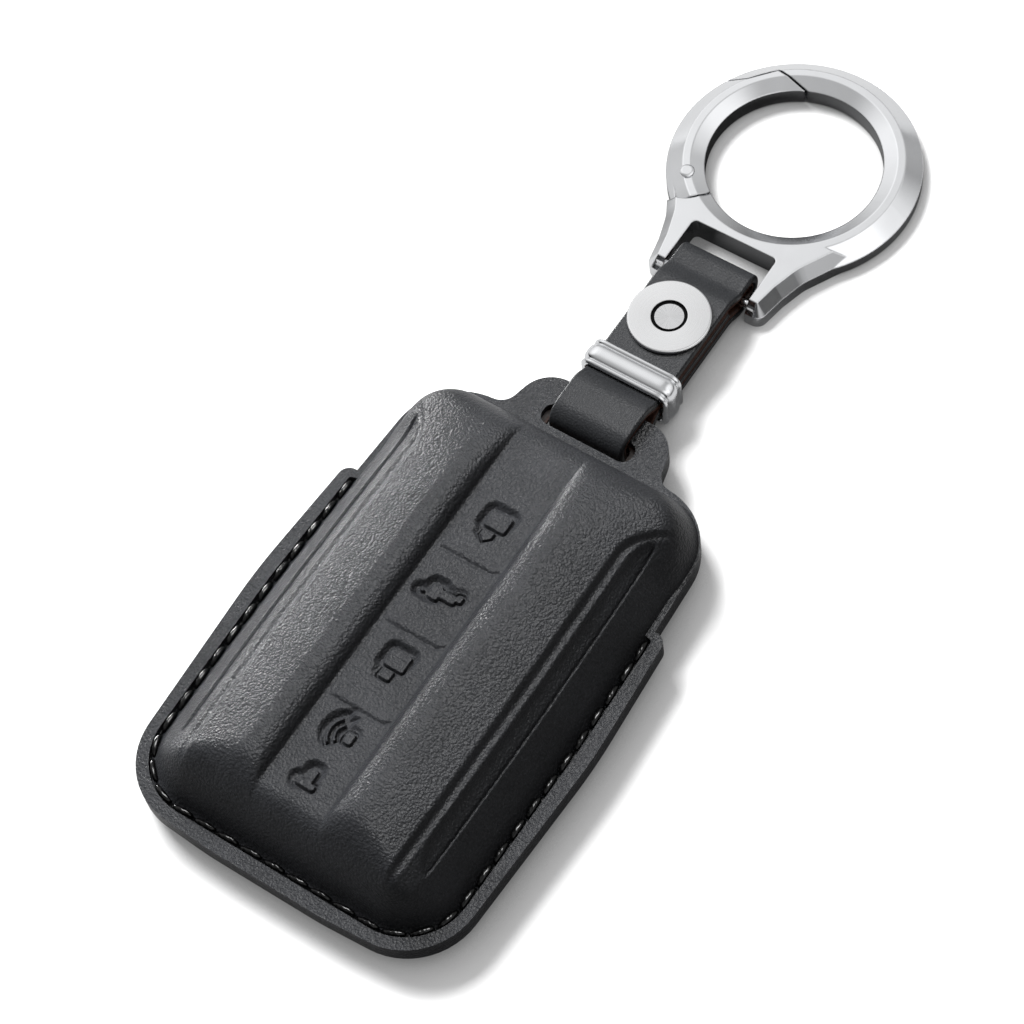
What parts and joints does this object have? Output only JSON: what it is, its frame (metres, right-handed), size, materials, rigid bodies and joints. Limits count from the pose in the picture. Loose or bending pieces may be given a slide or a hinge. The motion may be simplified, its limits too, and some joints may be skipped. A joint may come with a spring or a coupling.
{
  "type": "key fob cover",
  "caption": "Moulded leather cover for a car key, sewn along its flange, with a slotted tab, a studded strap with a metal keeper, and a sprung-gate ring.",
  "frame": {"origin": "on the flat back face, on the middle line of the cover, midway between its sewn end and the top of its rim", "axes": "+Y along the cover towards the ring, +X across it, +Z out of its front; the cover lies on its back on z = 0"},
  "size_m": [0.0546, 0.1512, 0.0166],
  "materials": {
    "moulded_leather": "fine pebble grain, matte, pressed in a mould",
    "back_leather": "fine pebble grain, matte",
    "strap_leather": "smooth grain with painted edges",
    "brown_lining": "split leather, dull",
    "waxed_thread": "waxed polyester, slight gloss",
    "polished_metal": "cast zinc alloy, polished and plated",
    "brushed_metal": "turned and satin brushed",
    "spring_steel": "drawn wire"
  },
  "bodies": {
    "cover": {"front_cover": "moulded_leather", "back_cover": "back_leather", "front_lining": "brown_lining", "back_lining": "brown_lining", "tab_lining": "brown_lining", "seam_thread_front": "waxed_thread", "seam_thread_back": "waxed_thread"},
    "strap_loop": {"strap": "strap_leather", "strap_lining": "brown_lining", "stud_disc": "brushed_metal", "stud_post": "brushed_metal", "stud_screw": "brushed_metal"},
    "keeper": {"strap_keeper": "polished_metal"},
    "ring": {"ring_frame": "polished_metal", "crossbar": "polished_metal", "gate_pin": "polished_metal", "gate_spring": "spring_steel"},
    "gate": {"ring_gate": "polished_metal"}
  },
  "joints": [
    {"name": "strap_swing", "type": "hinge", "parent": "cover", "child": "strap_loop", "pos_m": [0, 0.04385, 0.0047], "axis": [1, 0, 0], "range_deg": [-10, 10]},
    {"name": "keeper_slide", "type": "slide", "parent": "strap_loop", "child": "keeper", "axis": [0, 1, 0], "range_m": [0, 0.0016]},
    {"name": "ring_swing", "type": "hinge", "parent": "strap_loop", "child": "ring", "pos_m": [0, 0.071, 0.00265], "axis": [1, 0, 0], "range_deg": [-100, 100]},
    {"name": "gate_pivot", "type": "hinge", "parent": "ring", "child": "gate", "pos_m": [-0.01229, 0.0854, 0.002], "axis": [0, 0, -1], "range_deg": [0, 25], "stiffness_Nm_per_rad": 0.03, "springref_deg": -17.19}
  ]
}
